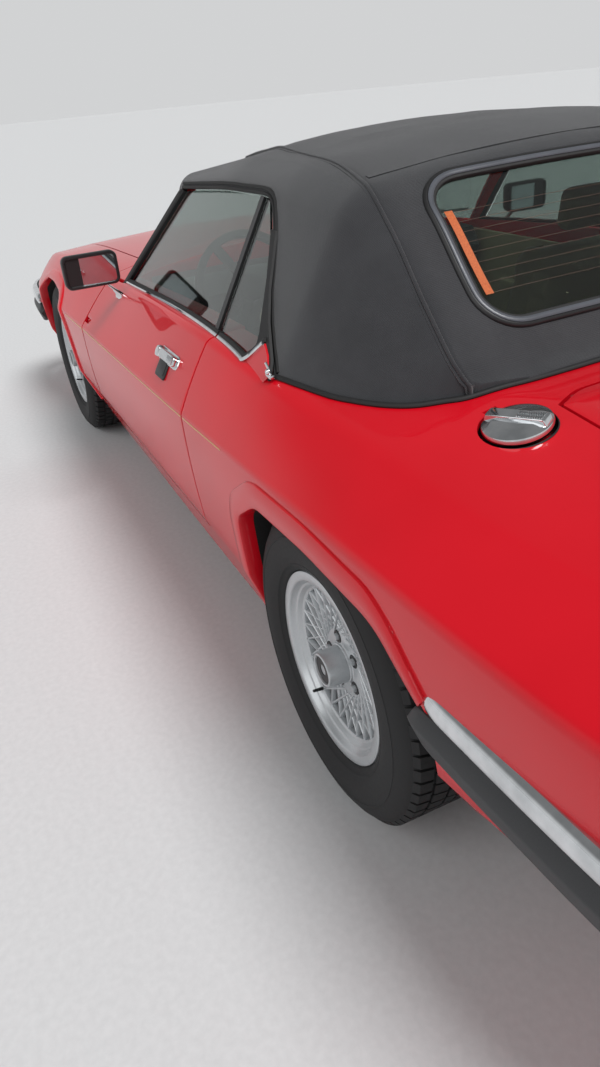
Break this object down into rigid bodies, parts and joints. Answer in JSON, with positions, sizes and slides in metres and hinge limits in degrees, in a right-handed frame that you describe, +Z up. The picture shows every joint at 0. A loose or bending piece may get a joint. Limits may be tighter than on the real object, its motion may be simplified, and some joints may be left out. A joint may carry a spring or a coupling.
{
  "type": "two-door convertible car",
  "caption": "Two-door open touring car with its fabric top raised, opening doors, bonnet and boot, wrap-round bumpers and steered front wheels.",
  "frame": {"origin": "ground level at mid length on the centre line", "axes": "+X to the front, +Y to the car's left, +Z up"},
  "size_m": [4.868, 1.924, 1.2619],
  "materials": {
    "red_paint": "glossy clear-coated red",
    "underside": "matt black",
    "canvas": "fine woven, matt",
    "clear_glass": "polished",
    "bright_trim": "mirror polished",
    "black_trim": "satin moulded",
    "bumper_rubber": "satin",
    "tyre_rubber": "matt",
    "wheel_alloy": "painted silver",
    "lamp_lens": "clear moulded red",
    "head_lens": "fluted clear",
    "cabin_leather": "soft grain",
    "dash_leather": "satin grain",
    "bare_metal": "rough",
    "steel_parts": "dull"
  },
  "bodies": {
    "body": {"boot_floor": "underside", "chassis_rails": "underside", "dashboard": "dash_leather", "division_bars": "black_trim", "door_post_left": "red_paint", "door_post_right": "red_paint", "driveline": "bare_metal", "engine": "bare_metal", "exhaust": "steel_parts", "firewall": "underside", "floor_pan": "underside", "front_bumper": "bumper_rubber", "front_bumper_blade": "bright_trim", "front_subframe": "steel_parts", "front_wing_left": "red_paint", "front_wing_right": "red_paint", "grille": "bright_trim", "headlamps": "head_lens", "nose_panel": "red_paint", "quarter_glass": "clear_glass", "rear_axle": "bare_metal", "rear_bulkhead": "underside", "rear_bumper": "bumper_rubber", "rear_bumper_blade": "bright_trim", "rear_deck": "red_paint", "rear_shelf": "dash_leather", "rear_window": "clear_glass", "rear_wing_left": "red_paint", "rear_wing_right": "red_paint", "scuttle_panel": "red_paint", "seat_left": "cabin_leather", "seat_right": "cabin_leather", "soft_top": "canvas", "tail_lamps": "lamp_lens", "tail_panel": "red_paint", "tunnel": "underside", "windscreen": "clear_glass", "windscreen_frame": "red_paint"},
    "door_left": {"door_left": "red_paint", "door_glass_left": "clear_glass", "door_handle_left": "bright_trim", "door_mirror_left": "black_trim"},
    "door_right": {"door_right": "red_paint", "door_glass_right": "clear_glass", "door_handle_right": "bright_trim", "door_mirror_right": "black_trim"},
    "bonnet": {"bonnet": "red_paint"},
    "boot_lid": {"boot_lid": "red_paint"},
    "filler_lid": {"filler_lid": "bright_trim"},
    "steering_wheel": {"steering_wheel": "dash_leather"},
    "knuckle_left": {"knuckle_left": "bare_metal"},
    "knuckle_right": {"knuckle_right": "bare_metal"},
    "wheel_front_left": {"rim_front_left": "wheel_alloy", "tyre_front_left": "tyre_rubber"},
    "wheel_front_right": {"rim_front_right": "wheel_alloy", "tyre_front_right": "tyre_rubber"},
    "wheel_rear_left": {"rim_rear_left": "wheel_alloy", "tyre_rear_left": "tyre_rubber"},
    "wheel_rear_right": {"rim_rear_right": "wheel_alloy", "tyre_rear_right": "tyre_rubber"}
  },
  "joints": [
    {"name": "door_left_swing", "type": "hinge", "parent": "body", "child": "door_left", "pos_m": [0.63, 0.868, 0.555], "axis": [0, 0, -1], "range_deg": [0, 65]},
    {"name": "door_right_swing", "type": "hinge", "parent": "body", "child": "door_right", "pos_m": [0.63, -0.868, 0.555], "axis": [0, 0, 1], "range_deg": [0, 65]},
    {"name": "bonnet_lift", "type": "hinge", "parent": "body", "child": "bonnet", "pos_m": [2.225, 0, 0.655], "axis": [0, 1, 0], "range_deg": [0, 55]},
    {"name": "boot_lift", "type": "hinge", "parent": "body", "child": "boot_lid", "pos_m": [-1.18, 0, 0.85], "axis": [0, 1, 0], "range_deg": [0, 60]},
    {"name": "filler_lift", "type": "hinge", "parent": "body", "child": "filler_lid", "pos_m": [-1.29, 0.55458, 0.86004], "axis": [0, 0.9781, -0.2079], "range_deg": [0, 80]},
    {"name": "steering_wheel_turn", "type": "hinge", "parent": "body", "child": "steering_wheel", "pos_m": [0.25, 0.375, 0.77], "axis": [-0.9063, 0, 0.4226], "range_deg": [-480, 480]},
    {"name": "steer_left", "type": "hinge", "parent": "body", "child": "knuckle_left", "pos_m": [1.4245, 0.69, 0.3315], "axis": [0, 0, 1], "range_deg": [-32, 32]},
    {"name": "steer_right", "type": "hinge", "parent": "body", "child": "knuckle_right", "pos_m": [1.4245, -0.69, 0.3315], "axis": [0, 0, 1], "range_deg": [-32, 32]},
    {"name": "spin_front_left", "type": "hinge", "parent": "knuckle_left", "child": "wheel_front_left", "pos_m": [1.4245, 0.744, 0.3315], "axis": [0, 1, 0], "continuous": true},
    {"name": "spin_front_right", "type": "hinge", "parent": "knuckle_right", "child": "wheel_front_right", "pos_m": [1.4245, -0.744, 0.3315], "axis": [0, 1, 0], "continuous": true},
    {"name": "spin_rear_left", "type": "hinge", "parent": "body", "child": "wheel_rear_left", "pos_m": [-1.1665, 0.752, 0.3315], "axis": [0, 1, 0], "continuous": true},
    {"name": "spin_rear_right", "type": "hinge", "parent": "body", "child": "wheel_rear_right", "pos_m": [-1.1665, -0.752, 0.3315], "axis": [0, 1, 0], "continuous": true}
  ],
  "couplings": [
    {"joint": "steer_right", "follows": "steer_left", "ratio": 1},
    {"joint": "steering_wheel_turn", "follows": "steer_left", "ratio": 15}
  ]
}
